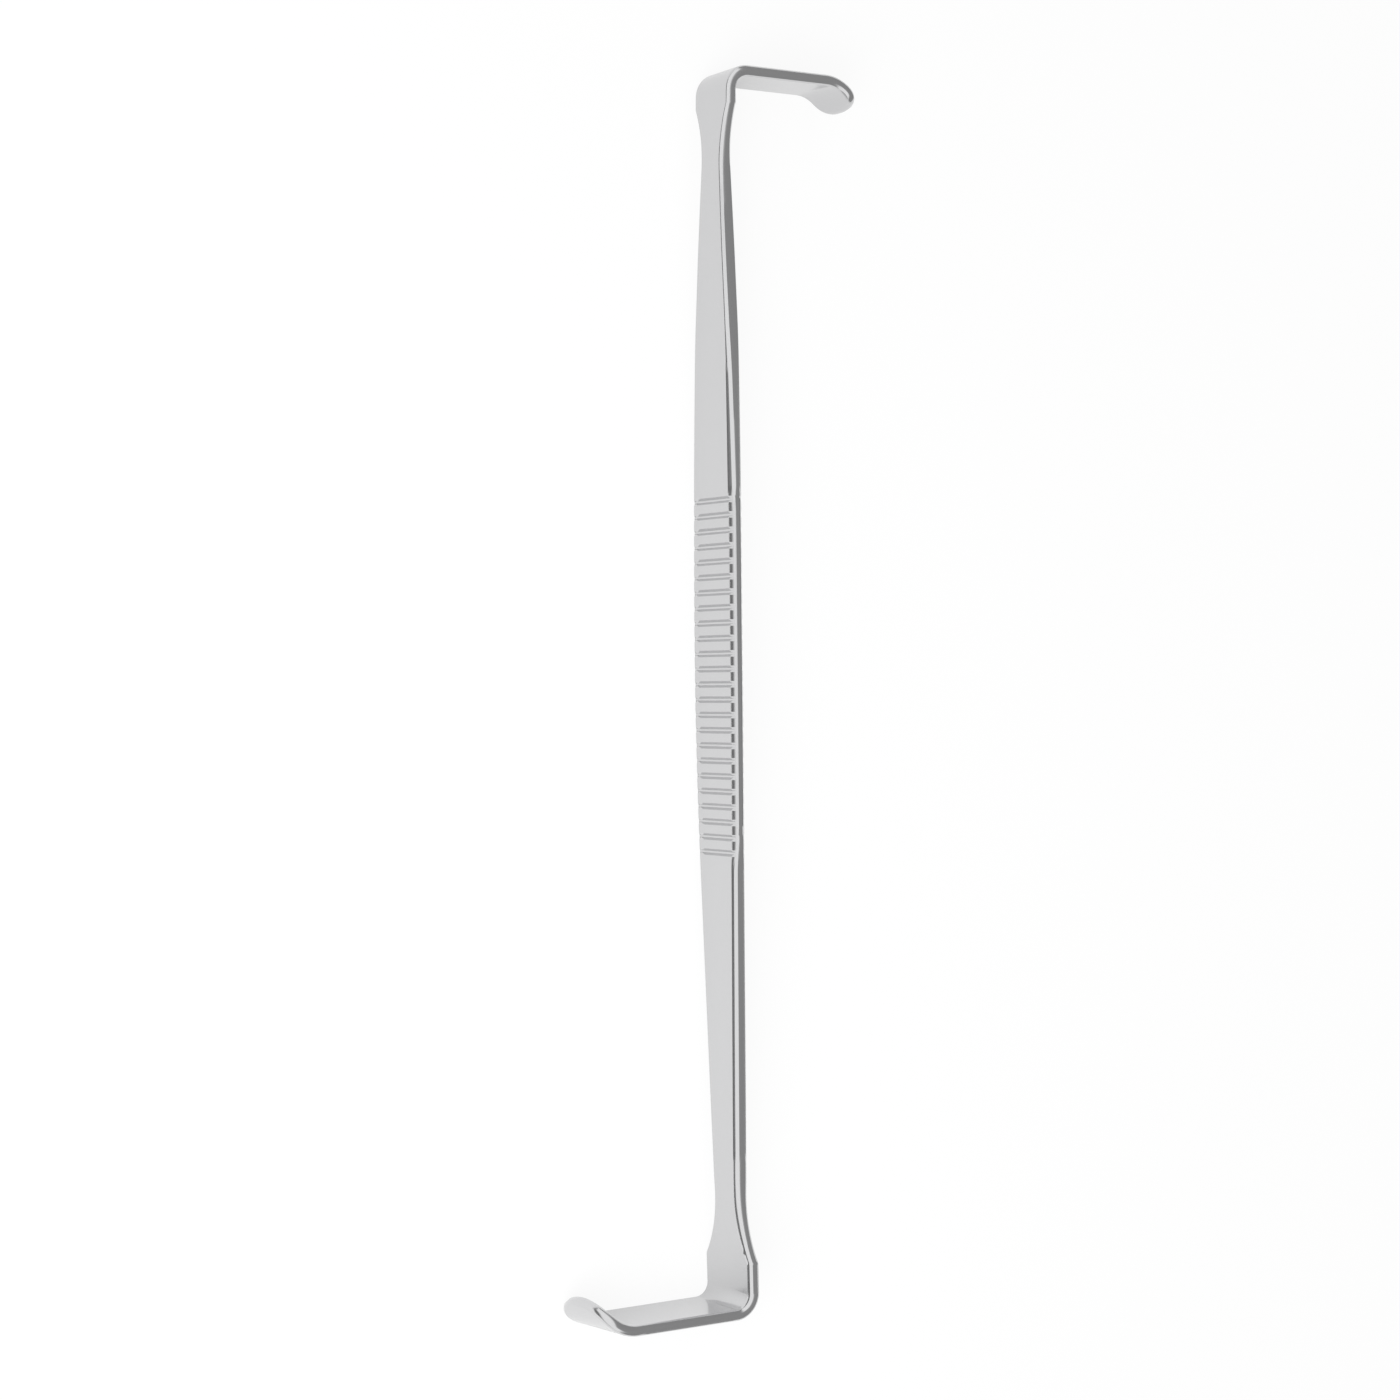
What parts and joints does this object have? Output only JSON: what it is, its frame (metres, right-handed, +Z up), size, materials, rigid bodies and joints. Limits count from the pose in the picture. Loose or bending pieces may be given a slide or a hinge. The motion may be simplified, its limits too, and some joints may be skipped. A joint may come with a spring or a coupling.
{
  "type": "handheld surgical retractor",
  "caption": "Double-ended handheld retractor: a flat, slightly bowed steel handle with a grooved grip and a square-set, lipped blade turned opposite ways at each end.",
  "frame": {"origin": "under the middle of the instrument's bounding box, on the surface that it lies on", "axes": "+Z up, across the width of the handle and blades; X along the handle, the large blade at +X; the grooved front face looks along -Y, the side that the large blade turns to"},
  "size_m": [0.1522, 0.041, 0.0104],
  "materials": {
    "steel": "satin"
  },
  "bodies": {
    "root": {"retractor": "steel"}
  },
  "joints": []
}
